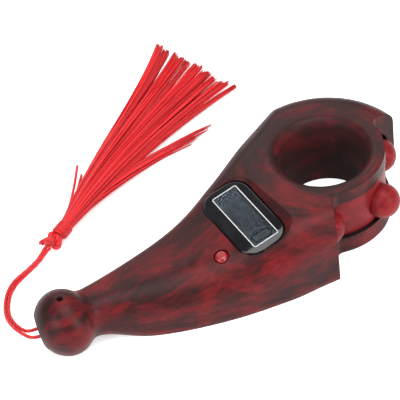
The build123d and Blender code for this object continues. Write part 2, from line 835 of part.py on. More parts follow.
# Bend of the cord round the pin, inside the ball
with BuildPart() as cord_bight:
    bight_plane = Plane(origin=ball_center, x_dir=mouth_out, z_dir=mouth_side.cross(mouth_out))
    with BuildLine(bight_plane) as bight_path:
        Line((mouth_reach, bight_radius), (0, bight_radius))
        CenterArc((0, 0), bight_radius, 90, 90)
        CenterArc((0, 0), bight_radius, 180, 90)
        Line((0, -bight_radius), (mouth_reach, -bight_radius))
    with BuildSketch(Plane(origin=bight_path.line @ 0, z_dir=bight_path.line % 0)):
        Circle(cord_radius)
    sweep(path=bight_path.line)
cord_bight.part.label = "cord_bight"
export_step(cord_bight.part, "parts/cord_bight.step")


def bend_radii(points):
    """Largest radius that each corner's two runs allow."""
    radii = []
    for before, here, after in zip(points, points[1:], points[2:]):
        into = here - before
        out = after - here
        half = radians(into.get_angle(out)) / 2
        radii.append(arc_share * min(into.length, out.length) / tan(half))
    return radii


# The two free strands from the mouth to the knot, side by side on the table
knot_back = knot_center - tassel_dir * knot_half_length
strand_step = tassel_side * (cord_radius + cord_pin_gap)
mouth_middle = ball_center + mouth_out * mouth_reach
strand_routes = {
    "cord_strand_a": [
        mouth_middle + mouth_side * bight_radius,
        mouth_middle + mouth_side * bight_radius + mouth_out * strand_exit,
        Vector(-76.75, 3.55, 6.3),
        Vector(-77.25, 4.5, 5.95),
        Vector(-77.73, 7.65, 4.9),
        Vector(-77.41, 11.94, 3.6),
        Vector(-76.04, 15.91, 2.2),
        Vector(-73.63, 20.17, 1.1),
        Vector(-71.0, 22.73, 0.75),
        Vector(-68.47, 23.77, 0.7),
        Vector(-66.03, 24.54, 0.75),
        Vector(-62.77, 25.37, 1.2),
        knot_back - strand_step - tassel_dir * strand_entry,
        knot_back - strand_step,
    ],
    "cord_strand_b": [
        mouth_middle - mouth_side * bight_radius,
        mouth_middle - mouth_side * bight_radius + mouth_out * strand_exit,
        Vector(-77.45, 1.6, 6.4),
        Vector(-78.2, 3.7, 5.95),
        Vector(-78.67, 7.6, 4.9),
        Vector(-78.33, 12.12, 3.6),
        Vector(-76.9, 16.31, 2.2),
        Vector(-74.39, 20.73, 1.1),
        Vector(-71.54, 23.51, 0.75),
        Vector(-68.79, 24.65, 0.7),
        Vector(-66.29, 25.44, 0.75),
        Vector(-63.03, 26.27, 1.2),
        knot_back + strand_step - tassel_dir * strand_entry,
        knot_back + strand_step,
    ],
}
for name, points in strand_routes.items():
    radii = bend_radii(points)
    with BuildPart() as strand:
        with BuildLine() as route:
            FilletPolyline(*points, radius=radii)
        with BuildSketch(Plane(origin=route.line @ 0, z_dir=route.line % 0)):
            Circle(cord_radius)
        sweep(path=route.line)
    length = route.wire().length
    tube = pi * cord_radius**2 * length
    print(name, "length", round(length, 1), "radii", [round(radius, 1) for radius in radii])
    print(name, "volume over section times length", round(strand.part.volume / tube, 4))
    strand.part.label = name
    export_step(strand.part, f"parts/{name}.step")

# Tassel knot: a drawn-up ball with flat faces for the strands and the neck
tassel_axis = Axis(knot_center, tassel_dir)
with BuildPart() as tassel_knot:
    with BuildSketch(Plane(origin=knot_center, x_dir=tassel_dir, z_dir=tassel_dir.cross(Vector(0, 0, 1)))):
        with BuildLine():
            Polyline(
                (-knot_half_length, knot_face_radius),
                (-knot_half_length, 0),
                (knot_half_length, 0),
                (knot_half_length, knot_face_radius),
            )
            ThreePointArc(
                (-knot_half_length, knot_face_radius), (0, knot_radius), (knot_half_length, knot_face_radius)
            )
        make_face()
    revolve(axis=tassel_axis)
tassel_knot.part.label = "tassel_knot"
export_step(tassel_knot.part, "parts/tassel_knot.step")


def fan_plane(turn, along, aside, height, slant):
    """Upright plane across the skirt, a way along from the neck's end and aside, turned by a slant."""
    out = Vector(cos(radians(turn)), sin(radians(turn)), 0)
    left = Vector(-sin(radians(turn)), cos(radians(turn)), 0)
    facing = Vector(cos(radians(turn + slant)), sin(radians(turn + slant)), 0)
    start = neck_end + out * along + left * aside
    return Plane(origin=(start.X, start.Y, height), x_dir=Vector(0, 0, 1).cross(facing), z_dir=facing)


# Skirt of threads: the bound neck, the fan on the table and the shorter lock beside it.
# Each row is distance along from the neck and aside, half width, half height, middle height and slant.
neck_start = knot_center + tassel_dir * knot_half_length
neck_end = neck_start + tassel_dir * neck_length
fan_rows = (
    (0.0, 0.0, neck_radius, neck_radius, knot_center.Z, 0),
    (13.0, 1.1, 3.8, 1.8, 1.95, 0),
    (36.0, 0.9, 7.4, 1.5, 1.65, skirt_slant / 2),
    (62.0, 0.1, 13.1, 1.2, 1.3, skirt_slant),
)
lock_rows = (
    (0.0, 0.0, 1.1, 1.1, knot_center.Z, 0),
    (11.3, 1.7, 1.4, 1.1, 1.7, 0),
    (22.0, 2.4, 1.5, 1.0, 1.2, 0),
    (31.0, 1.3, 1.5, 0.9, 1.0, 0),
    (46.0, -1.9, 1.1, 0.7, 0.8, 0),
)
with BuildPart() as tassel_skirt:
    with BuildSketch(Plane(origin=neck_start, x_dir=tassel_side, z_dir=tassel_dir)):
        Circle(neck_radius)
    extrude(amount=neck_length + neck_radius / 2)
    for turn, rows in ((skirt_turn, fan_rows), (lock_turn, lock_rows)):
        faces = []
        for along, aside, half_width, half_height, height, slant in rows:
            with BuildSketch(fan_plane(turn, along, aside, height, slant), mode=Mode.PRIVATE) as row:
                Ellipse(half_width, half_height)
            faces.append(row.sketch)
        loft(sections=faces)
tassel_skirt.part.label = "tassel_skirt"
export_step(tassel_skirt.part, "parts/tassel_skirt.step")


def helix_point(turns):
    """Point and direction on the binding's helix after so many turns."""
    radius = neck_radius + binding_gap + binding_wire_radius
    angle = radians(360 * turns)
    along = tassel_dir * (binding_start + binding_pitch * turns)
    across = tassel_side * (radius * cos(angle)) + Vector(0, 0, radius * sin(angle))
    rise = tassel_dir * (binding_pitch / radians(360))
    run = tassel_side * (-radius * sin(angle)) + Vector(0, 0, radius * cos(angle))
    return neck_start + along + across, (rise + run).normalized()


def biarc_joint(start, start_dir, end, end_dir):
    """Where two arcs meet smoothly between two points with given directions."""
    chord = end - start
    both = start_dir + end_dir
    spread = 2 * (1 - start_dir.dot(end_dir))
    reach = (sqrt(chord.dot(both) ** 2 + spread * chord.dot(chord)) - chord.dot(both)) / spread
    return (start + start_dir * reach + end - end_dir * reach) / 2


# Binding: thread wound round the neck, in quarter turns of two arcs each
with BuildPart() as tassel_binding:
    with BuildLine() as winding:
        start, start_dir = helix_point(0)
        Line(start - start_dir * 2 * binding_wire_radius, start)
        for quarter in range(4 * binding_turns):
            end, end_dir = helix_point((quarter + 1) / 4)
            joint = biarc_joint(start, start_dir, end, end_dir)
            first = TangentArc(start, joint, tangent=start_dir)
            TangentArc(joint, end, tangent=first % 1)
            start, start_dir = end, end_dir
        Line(start, start + start_dir * 2 * binding_wire_radius)
    with BuildSketch(Plane(origin=winding.line @ 0, z_dir=winding.line % 0)):
        Circle(binding_wire_radius)
    sweep(path=winding.line)
tassel_binding.part.label = "tassel_binding"
export_step(tassel_binding.part, "parts/tassel_binding.step")

samples_per_turn = 24
turn_points = [helix_point(i / samples_per_turn)[0] for i in range(samples_per_turn * binding_turns + 1)]
least = min(
    (turn_points[i] - turn_points[j]).length
    for i in range(len(turn_points))
    for j in range(i + samples_per_turn // 2, len(turn_points))
)
print("binding least gap to itself", round(least - 2 * binding_wire_radius, 2))
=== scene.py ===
import json
import math

import bpy
import numpy as np
from mathutils import Matrix


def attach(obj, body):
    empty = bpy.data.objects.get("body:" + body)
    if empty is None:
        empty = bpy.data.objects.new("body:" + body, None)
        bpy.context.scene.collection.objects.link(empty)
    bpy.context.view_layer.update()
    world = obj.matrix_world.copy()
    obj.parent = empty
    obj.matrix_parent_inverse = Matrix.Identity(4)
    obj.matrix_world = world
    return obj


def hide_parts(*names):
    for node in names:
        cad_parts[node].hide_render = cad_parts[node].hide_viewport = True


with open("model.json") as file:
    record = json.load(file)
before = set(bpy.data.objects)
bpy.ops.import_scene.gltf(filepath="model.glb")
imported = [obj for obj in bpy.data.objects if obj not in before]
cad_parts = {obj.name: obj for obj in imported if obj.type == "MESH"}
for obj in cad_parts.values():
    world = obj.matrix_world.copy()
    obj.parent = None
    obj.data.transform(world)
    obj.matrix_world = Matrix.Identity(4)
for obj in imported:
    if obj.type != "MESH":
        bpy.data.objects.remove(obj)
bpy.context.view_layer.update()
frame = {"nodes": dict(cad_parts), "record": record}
scene = bpy.context.scene
nodes = frame["nodes"]
mm = 0.001
print("frame:", len(nodes), "nodes")


# camera and studio

photoView = {
    "azimuth": -26.6, "elevation": 44.4, "roll": 8.0,
    "distance": 0.480, "lens": 187.6, "sensor": 36.0,
    "target": (-0.025713, 0.013385, 0.008),
}


# Right, up and back of a camera that looks at the object, rolled about its own line of sight
def viewAxes(azimuth, elevation, roll):
    a, e, r = math.radians(azimuth), math.radians(elevation), math.radians(roll)
    back = np.array((math.sin(a) * math.cos(e), -math.cos(a) * math.cos(e), math.sin(e)))
    right = np.array((math.cos(a), math.sin(a), 0.0))
    up = np.cross(back, right)
    return right * math.cos(r) - up * math.sin(r), up * math.cos(r) + right * math.sin(r), back


def placeAt(holder, axes, spot):  # axes become the holder's own X, Y and Z
    turned = np.eye(4)
    turned[:3, :3] = np.array(axes).T
    turned[:3, 3] = spot
    holder.matrix_world = Matrix(turned.tolist())
    scene.collection.objects.link(holder)


viewer = bpy.data.cameras.new("photoCamera")
viewer.lens, viewer.sensor_width = photoView["lens"], photoView["sensor"]
viewer.clip_start, viewer.clip_end = 0.01, 20.0
viewerAxes = viewAxes(photoView["azimuth"], photoView["elevation"], photoView["roll"])
cameraHolder = bpy.data.objects.new("photoCamera", viewer)
placeAt(cameraHolder, viewerAxes, np.array(photoView["target"]) + viewerAxes[2] * photoView["distance"])
scene.camera = cameraHolder
scene.view_settings.view_transform = "Standard"
scene.view_settings.look = "None"

studio = {
    "worldColor": (1.0, 1.0, 1.0), "worldStrength": 0.30,
    "middle": (-0.03, 0.015, 0.01),
    "softBoxes": {  # azimuth and elevation of the box, its distance, width and watts
        "overhead": (20.0, 78.0, 0.75, 0.60, 6.6),
        "nearLeft": (-75.0, 27.0, 0.70, 0.34, 3.0),
        "nearRight": (22.0, 25.0, 0.75, 0.30, 3.3),
        "farSide": (160.0, 40.0, 0.80, 0.50, 2.4),
    },
}


def lightStudio(settings):
    world = bpy.data.worlds.new("paleRoom")
    world.use_nodes = True
    sky = world.node_tree.nodes["Background"]
    sky.inputs["Color"].default_value = (*settings["worldColor"], 1.0)
    sky.inputs["Strength"].default_value = settings["worldStrength"]
    scene.world = world
    for name, (azimuth, elevation, distance, width, watts) in settings["softBoxes"].items():
        lamp = bpy.data.lights.new(name, "AREA")
        lamp.size, lamp.energy = width, watts
        axes = viewAxes(azimuth, elevation, 0.0)
        placeAt(bpy.data.objects.new(name, lamp), axes, np.array(settings["middle"]) + axes[2] * distance)


lightStudio(studio)
print("camera and lights set")


# node helpers

def addNode(tree, kind, values=None, **settings):  # a value that is a socket is linked, any other is set
    made = tree.nodes.new("ShaderNode" + kind)
    for name, value in settings.items():
        setattr(made, name, value)
    for name, value in (values or {}).items():
        if isinstance(value, bpy.types.NodeSocket):
            tree.links.new(value, made.inputs[name])
        else:
            made.inputs[name].default_value = value
    return made


def calc(tree, operation, *terms):
    return addNode(tree, "Math", dict(enumerate(terms)), operation=operation).outputs[0]


def weigh(tree, *pairs):  # sum of values, each times its weight
    total = calc(tree, "MULTIPLY", *pairs[0])
    for value, weight in pairs[1:]:
        total = calc(tree, "ADD", total, calc(tree, "MULTIPLY", value, weight))
    return total


def scaled(tree, vector, factor):
    return addNode(tree, "VectorMath", {0: vector, "Scale": factor}, operation="SCALE").outputs[0]


def objectSpot(tree):
    return addNode(tree, "TexCoord").outputs["Object"]


def mixColors(tree, factor, first, second):
    return addNode(tree, "Mix", {0: factor, 6: first, 7: second}, data_type="RGBA").outputs[2]


def ramp(tree, value, low, high, toLow=0.0, toHigh=1.0):  # smooth step from one value to another
    spread = {"Value": value, "From Min": low, "From Max": high, "To Min": toLow, "To Max": toHigh}
    return addNode(tree, "MapRange", spread, interpolation_type="SMOOTHSTEP").outputs["Result"]


def noise(tree, vector, scale, detail=3.0, roughness=0.55, distortion=0.0):
    wanted = {"Vector": vector, "Scale": scale, "Detail": detail}
    wanted.update({"Roughness": roughness, "Distortion": distortion})
    return addNode(tree, "TexNoise", wanted)


def startGroup(name, inputs, outputs):  # inputs give each socket's kind and its value at rest
    group = bpy.data.node_groups.new(name, "ShaderNodeTree")
    for label, (kind, value) in inputs.items():
        socket = group.interface.new_socket(name=label, in_out="INPUT", socket_type="NodeSocket" + kind)
        socket.default_value = value
    for label, kind in outputs.items():
        group.interface.new_socket(name=label, in_out="OUTPUT", socket_type="NodeSocket" + kind)
    return group, group.nodes.new("NodeGroupInput").outputs, group.nodes.new("NodeGroupOutput").inputs


def useGroup(tree, group, values):
    return addNode(tree, "Group", values, node_tree=group).outputs


def startMaterial(name, **sockets):  # Principled values that are the same all over
    material = bpy.data.materials.new(name)
    material.use_nodes = True
    shader = material.node_tree.nodes["Principled BSDF"]
    for label, value in sockets.items():
        shader.inputs[label].default_value = value
    return material, material.node_tree, shader.inputs


def bump(tree, height, strength, distance, normal=None):
    values = {"Height": height, "Strength": strength, "Distance": distance}
    if normal is not None:
        values["Normal"] = normal
    return addNode(tree, "Bump", values).outputs["Normal"]


def awayFromAxis(tree, split):  # distance from the finger hole's axis
    flat = addNode(tree, "CombineXYZ", {"X": split["X"], "Y": split["Y"]}).outputs[0]
    return addNode(tree, "VectorMath", {0: flat}, operation="LENGTH").outputs["Value"]


# Marbled resin: noise drawn out along the handle, and round the finger hole in the ring, parts the
# dark colour from the streaks; a slower noise sets how much streak there is, a fine one the fibre.
def makeMarbleGroup():
    group, given, out = startGroup(
        "marbledResin",
        {
            "Dark": ("Color", (0.04, 0.025, 0.025, 1.0)), "Streak": ("Color", (0.25, 0.02, 0.024, 1.0)),
            "Haze": ("Color", (0.09, 0.06, 0.06, 1.0)), "Grain": ("Float", 330.0),
            "Amount": ("Float", 0.0), "Stretch": ("Float", 0.2), "PaintedNearLight": ("Float", 0.0),
        },
        {"Color": "Color", "Roughness": "Float", "Height": "Float"},
    )
    where = objectSpot(group)
    split = addNode(group, "SeparateXYZ", {"Vector": where}).outputs
    sway = noise(group, where, 75.0, 2.0).outputs["Color"]
    swayed = addNode(group, "VectorMath", {0: sway, 1: (0.5, 0.5, 0.5)}, operation="SUBTRACT").outputs[0]
    swayed = scaled(group, swayed, 4.2 * mm)
    along = calc(group, "MULTIPLY", split["X"], given["Stretch"])
    handleSpot = addNode(group, "CombineXYZ", {"X": along, "Y": split["Y"], "Z": split["Z"]}).outputs[0]
    angle = calc(group, "ARCTAN2", split["Y"], split["X"])
    reach = awayFromAxis(group, split)
    arc = calc(group, "MULTIPLY", calc(group, "MULTIPLY", angle, 17.0 * mm), given["Stretch"])
    ringSpot = addNode(group, "CombineXYZ", {"X": arc, "Y": reach, "Z": split["Z"]}).outputs[0]
    strands = []
    for spot in (handleSpot, ringSpot):
        moved = addNode(group, "VectorMath", {0: spot, 1: swayed}, operation="ADD").outputs[0]
        coarse = noise(group, moved, given["Grain"], 4.0, 0.58, 0.35).outputs["Fac"]
        fibre = noise(group, moved, calc(group, "MULTIPLY", given["Grain"], 4.5), 3.0, 0.6).outputs["Fac"]
        strands.append((coarse, fibre))
    toRing = ramp(group, split["X"], -27.0 * mm, -12.0 * mm)
    coarse, fibre = [
        addNode(group, "Mix", {0: toRing, 2: strands[0][k], 3: strands[1][k]}, data_type="FLOAT").outputs[0]
        for k in (0, 1)
    ]
    patches = noise(group, where, 62.0, 2.0, 0.5).outputs["Fac"]
    # painted light: the near side, which faces the light, gets more streak and reads lighter and redder
    paintedNearLight = ramp(group, split["Y"], -10.0 * mm, 12.0 * mm, 0.5, -0.5)  # redder on the near side
    field = weigh(group, (coarse, 0.66), (patches, 0.24), (fibre, 0.10), (paintedNearLight, given["PaintedNearLight"]))
    field = calc(group, "ADD", field, given["Amount"])
    streak = ramp(group, field, 0.43, 0.69)
    clouds = ramp(group, weigh(group, (patches, 0.6), (coarse, 0.4)), 0.36, 0.62)
    base = mixColors(group, clouds, given["Dark"], given["Haze"])
    tint = mixColors(group, streak, base, given["Streak"])
    shade = ramp(group, fibre, 0.25, 0.75, 0.82, 1.14)
    group.links.new(scaled(group, tint, shade), out["Color"])
    group.links.new(ramp(group, fibre, 0.3, 0.7, 0.34, 0.46), out["Roughness"])
    group.links.new(weigh(group, (fibre, 1.0), (streak, 0.5)), out["Height"])
    return group


# Handling marks: soft smudges and fine specks that only change the gloss
def makeWearGroup():
    group, given, out = startGroup(
        "handlingMarks",
        {"Scale": ("Float", 900.0), "Low": ("Float", 0.2), "High": ("Float", 0.4)},
        {"Roughness": "Float", "Height": "Float"},
    )
    where = objectSpot(group)
    fine = noise(group, where, given["Scale"], 4.0, 0.65).outputs["Fac"]
    smudge = noise(group, where, calc(group, "MULTIPLY", given["Scale"], 0.12), 2.0).outputs["Fac"]
    both = weigh(group, (fine, 0.5), (smudge, 0.5))
    group.links.new(ramp(group, both, 0.35, 0.65, given["Low"], given["High"]), out["Roughness"])
    group.links.new(fine, out["Height"])
    return group


# Twisted thread: slanting plies from the thread's own measures along and around it, toned per thread, with
# painted shade in the grooves between plies
def makeThreadGroup():
    group, given, out = startGroup(
        "twistedThread",
        {
            "Deep": ("Color", (0.3, 0.005, 0.008, 1.0)), "Bright": ("Color", (0.8, 0.04, 0.05, 1.0)),
            "Plies": ("Float", 2.0), "Twist": ("Float", 900.0), "GrooveShade": ("Float", 0.4),
        },
        {"Color": "Color", "Roughness": "Float", "Height": "Float"},
    )
    along, around, tone = [
        addNode(group, "Attribute", attribute_name=label).outputs["Fac"]
        for label in ("along", "around", "tone")
    ]
    turns = weigh(group, (around, given["Plies"]), (along, given["Twist"]))
    wave = calc(group, "SINE", calc(group, "MULTIPLY", turns, 2 * math.pi))
    ply = calc(group, "MULTIPLY_ADD", wave, 0.5, 0.5)
    fuzz = noise(group, objectSpot(group), 2600.0, 3.0, 0.6).outputs["Fac"]
    mixing = weigh(group, (tone, 0.62), (fuzz, 0.38))
    # painted shade: the colour darkens in the grooves between the plies
    paintedGrooveShade = calc(group, "MULTIPLY", calc(group, "SUBTRACT", 1.0, ply), given["GrooveShade"])
    level = addNode(group, "Math", {0: mixing, 1: paintedGrooveShade}, operation="SUBTRACT", use_clamp=True).outputs[0]
    group.links.new(mixColors(group, level, given["Deep"], given["Bright"]), out["Color"])
    group.links.new(ramp(group, fuzz, 0.3, 0.7, 0.38, 0.58), out["Roughness"])
    group.links.new(weigh(group, (ply, 0.8), (fuzz, 0.3)), out["Height"])
    return group


marbleGroup, wearGroup, threadGroup = makeMarbleGroup(), makeWearGroup(), makeThreadGroup()
print("shader groups made")


# materials

resinLooks = {
    "shell": {
        "Dark": (0.020, 0.0080, 0.0080, 1), "Haze": (0.043, 0.0080, 0.0085, 1),
        "Streak": (0.122, 0.008, 0.010, 1),
        "Grain": 250.0, "Amount": -0.022, "Stretch": 0.26, "PaintedNearLight": 0.08,
    },
    "bead": {
        "Dark": (0.115, 0.009, 0.011, 1), "Haze": (0.160, 0.010, 0.012, 1),
        "Streak": (0.205, 0.012, 0.015, 1),
        "Grain": 300.0, "Amount": 0.03, "Stretch": 0.5,
    },
}
resinFinish = {"gloss": 0.12, "bend": 1.45, "edge": 0.30 * mm, "relief": 0.12, "reliefDepth": 0.06 * mm}
seamLook = {
    "height": 4.4 * mm, "half": 0.1 * mm, "core": 0.03 * mm, "clearOf": 13.6 * mm,
    "color": (0.012, 0.006, 0.006, 1.0), "depth": 4.0,
}
# finger hole wall: painted shade, darkest towards its bottom, and a duller finish
boreLook = {
    "radius": 10.0 * mm, "rim": 1.2 * mm, "top": 16.6 * mm, "bottom": 11.0 * mm,
    "darkestPaintedShade": 0.60, "dulled": 0.30,
}


# Details of the case: a fine dark line where its two halves meet, outside the finger tube, and a finger
# hole whose wall has painted shade that darkens downwards, and is duller
def caseDetails(tree, color, height, rough, seam, bore):
    split = addNode(tree, "SeparateXYZ", {"Vector": objectSpot(tree)}).outputs
    reach = awayFromAxis(tree, split)
    off = calc(tree, "ABSOLUTE", calc(tree, "SUBTRACT", split["Z"], seam["height"]))
    outside = calc(tree, "GREATER_THAN", reach, seam["clearOf"])
    line = calc(tree, "MULTIPLY", ramp(tree, off, seam["half"], seam["core"]), outside)
    color = mixColors(tree, line, color, seam["color"])
    height = calc(tree, "SUBTRACT", height, calc(tree, "MULTIPLY", line, seam["depth"]))
    inside = ramp(tree, reach, bore["radius"] + bore["rim"], bore["radius"])
    # painted shade: the wall inside the finger hole darkens towards its lower part
    paintedBoreShade = calc(tree, "MULTIPLY", inside, ramp(tree, split["Z"], bore["top"], bore["bottom"]))
    level = calc(tree, "SUBTRACT", 1.0, calc(tree, "MULTIPLY", paintedBoreShade, 1.0 - bore["darkestPaintedShade"]))
    rough = calc(tree, "ADD", rough, calc(tree, "MULTIPLY", inside, bore["dulled"]))
    return scaled(tree, color, level), height, rough


def makeResin(name, look, seam=None, bore=None):
    material, tree, shader = startMaterial(
        name, **{"IOR": resinFinish["bend"], "Specular IOR Level": resinFinish["gloss"]}
    )
    resin = useGroup(tree, marbleGroup, look)
    color, height, rough = resin["Color"], resin["Height"], resin["Roughness"]
    if seam:
        color, height, rough = caseDetails(tree, color, height, rough, seam, bore)
    tree.links.new(color, shader["Base Color"])
    tree.links.new(rough, shader["Roughness"])
    soft = addNode(tree, "Bevel", {"Radius": resinFinish["edge"]}, samples=6).outputs["Normal"]
    surface = bump(tree, height, resinFinish["relief"], resinFinish["reliefDepth"], soft)
    tree.links.new(surface, shader["Normal"])
    return material


def makePlain(name, color, low, high, scale=900.0, mottle=0.12, bumpDepth=0.02 * mm, **sockets):
    material, tree, shader = startMaterial(name, **sockets)
    marks = useGroup(tree, wearGroup, {"Scale": scale, "Low": low, "High": high})
    cloud = noise(tree, objectSpot(tree), scale * 0.35, 3.0).outputs["Fac"]
    darker = tuple(c * (1 - mottle) for c in color) + (1.0,)
    lighter = tuple(min(1.0, c * (1 + mottle)) for c in color) + (1.0,)
    tree.links.new(mixColors(tree, cloud, darker, lighter), shader["Base Color"])
    tree.links.new(marks["Roughness"], shader["Roughness"])
    tree.links.new(bump(tree, marks["Height"], 0.15, bumpDepth), shader["Normal"])
    return material


threadReds = {"Deep": (0.30, 0.003, 0.005, 1), "Bright": (0.84, 0.017, 0.024, 1)}
threadSheen = {
    "IOR": 1.4, "Sheen Weight": 0.03, "Sheen Roughness": 0.4, "Sheen Tint": (1.0, 0.55, 0.55, 1.0),
}


def makeThread(name, plies, twist, grooveShade, bumpDepth):
    material, tree, shader = startMaterial(name, **threadSheen)
    wanted = {"Plies": plies, "Twist": twist, "GrooveShade": grooveShade}
    thread = useGroup(tree, threadGroup, {**threadReds, **wanted})
    tree.links.new(thread["Color"], shader["Base Color"])
    tree.links.new(thread["Roughness"], shader["Roughness"])
    tree.links.new(bump(tree, thread["Height"], 0.5, bumpDepth), shader["Normal"])
    return material


display = {
    "center": (-24.4, -4.1, 15.6), "pitch": 8.5, "roll": 4.0, "shift": 0.45,
    "windowLength": 17.0, "windowWidth": 6.1, "lensThickness": 1.2, "lensHalf": 10.6,
}
lensLook = {
    "color": (0.005, 0.005, 0.006, 1.0), "gloss": 0.34, "droop": 0.80 * mm, "power": 4.0,
    "marks": {"Scale": 500.0, "Low": 0.05, "High": 0.13},
}


def displayAxes():  # along the handle, across it, and out of the display
    p, r = math.tan(math.radians(display["pitch"])), math.tan(math.radians(display["roll"]))
    out = np.array((-p, -r, 1.0)) / math.sqrt(p * p + r * r + 1)
    ahead = np.array((1.0, 0.0, p)) / math.sqrt(1 + p * p)
    return ahead, np.cross(out, ahead), out


# Gloss that bends away at the lens's near end, as on a slightly domed sheet: the fall is a power of the
# share of the way to that end
def makeLens(name, look):
    same = {"IOR": 1.5, "Base Color": look["color"], "Specular IOR Level": look["gloss"]}
    material, tree, shader = startMaterial(name, **same)
    marks = useGroup(tree, wearGroup, look["marks"])
    middle = tuple(v * mm for v in display["center"])
    offset = addNode(tree, "VectorMath", {0: objectSpot(tree), 1: middle}, operation="SUBTRACT").outputs[0]
    near = tuple(-displayAxes()[1])
    across = addNode(tree, "VectorMath", {0: offset, 1: near}, operation="DOT_PRODUCT").outputs["Value"]
    share = calc(tree, "DIVIDE", calc(tree, "MAXIMUM", across, 0.0), display["lensHalf"] * mm)
    fall = calc(tree, "MULTIPLY", calc(tree, "POWER", share, look["power"]), -1.0)
    tree.links.new(marks["Roughness"], shader["Roughness"])
    tree.links.new(bump(tree, fall, 1.0, look["droop"]), shader["Normal"])
    return material


finishes = {
    "shell": makeResin("marbledShell", resinLooks["shell"], seamLook, boreLook),
    "bead": makeResin("marbledBead", resinLooks["bead"]),
    "magnet": makePlain("platedMagnet", (0.62, 0.62, 0.63), 0.18, 0.32, Metallic=1.0),
    "lens": makeLens("blackLens", lensLook),
    "window": makePlain(
        "clearWindow", (0.90, 0.94, 0.97), 0.004, 0.016, 500.0, 0.02, 0.0001 * mm,
        **{"IOR": 1.45, "Transmission Weight": 1.0},
    ),
    "lcd": makePlain("displayPanel", (0.022, 0.036, 0.051), 0.25, 0.4, 240.0, 0.10, 0.0005 * mm),
    "connector": makePlain("stripRubber", (0.05, 0.05, 0.05), 0.6, 0.8),
    "board": makePlain("boardLaminate", (0.03, 0.14, 0.06), 0.35, 0.55),
    "resin": makePlain("blackResin", (0.015, 0.015, 0.016), 0.4, 0.6),
    "screw": makePlain("zincScrew", (0.60, 0.60, 0.61), 0.25, 0.42, 1500.0, 0.10, Metallic=1.0),
    "button": makePlain(
        "clearRedButton", (0.215, 0.005, 0.007), 0.24, 0.36, 700.0, 0.15, 0.004 * mm,
        **{
            "IOR": 1.5, "Coat Weight": 0.05, "Subsurface Weight": 0.25,
            "Subsurface Radius": (1.0, 0.1, 0.1), "Subsurface Scale": 0.8 * mm,
        },
    ),
    "plunger": makePlain("whitePlunger", (0.78, 0.78, 0.76), 0.4, 0.55),
    "reed": makePlain("reedGlass", (0.55, 0.75, 0.62), 0.05, 0.12, **{"Transmission Weight": 0.8}),
    "contact": makePlain("nickelContact", (0.70, 0.67, 0.60), 0.22, 0.38, Metallic=1.0),
    "cell": makePlain("steelCell", (0.72, 0.72, 0.72), 0.2, 0.36, Metallic=1.0),
    "cord": makeThread("cordThread", 3.0, 520.0, 0.55, 0.06 * mm),
    "tassel": makeThread("tasselThread", 2.0, 1100.0, 0.22, 0.03 * mm),
}

for part in frame["record"]["subparts"]:  # every solid takes the finish of its slot
    shown = nodes[part["node"]].data
    shown.materials.clear()
    shown.materials.append(finishes[part["material_slot"]])
print("materials on", len(nodes), "solids")


# mesh helpers

def putMesh(name, points, quads, triangles, material, measures, body):
    mesh = bpy.data.meshes.new(name)
    corners = np.concatenate([quads.ravel(), triangles.ravel()])
    counts = np.concatenate([np.full(len(quads), 4), np.full(len(triangles), 3)])
    mesh.vertices.add(len(points))
    mesh.vertices.foreach_set("co", points.astype(np.float32).ravel())
    mesh.loops.add(len(corners))
    mesh.loops.foreach_set("vertex_index", corners.astype(np.int32))
    mesh.polygons.add(len(counts))
    starts = np.concatenate([[0], np.cumsum(counts)[:-1]])
    mesh.polygons.foreach_set("loop_start", starts.astype(np.int32))
    mesh.polygons.foreach_set("use_smooth", np.ones(len(counts), bool))
    mesh.update(calc_edges=True)
    mesh.validate()
    for label, values in measures.items():
        stored = mesh.attributes.new(label, "FLOAT", "POINT")
        stored.data.foreach_set("value", values.astype(np.float32).ravel())
    mesh.materials.append(material)
    holder = bpy.data.objects.new(name, mesh)
    scene.collection.objects.link(holder)
    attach(holder, body)
    return holder


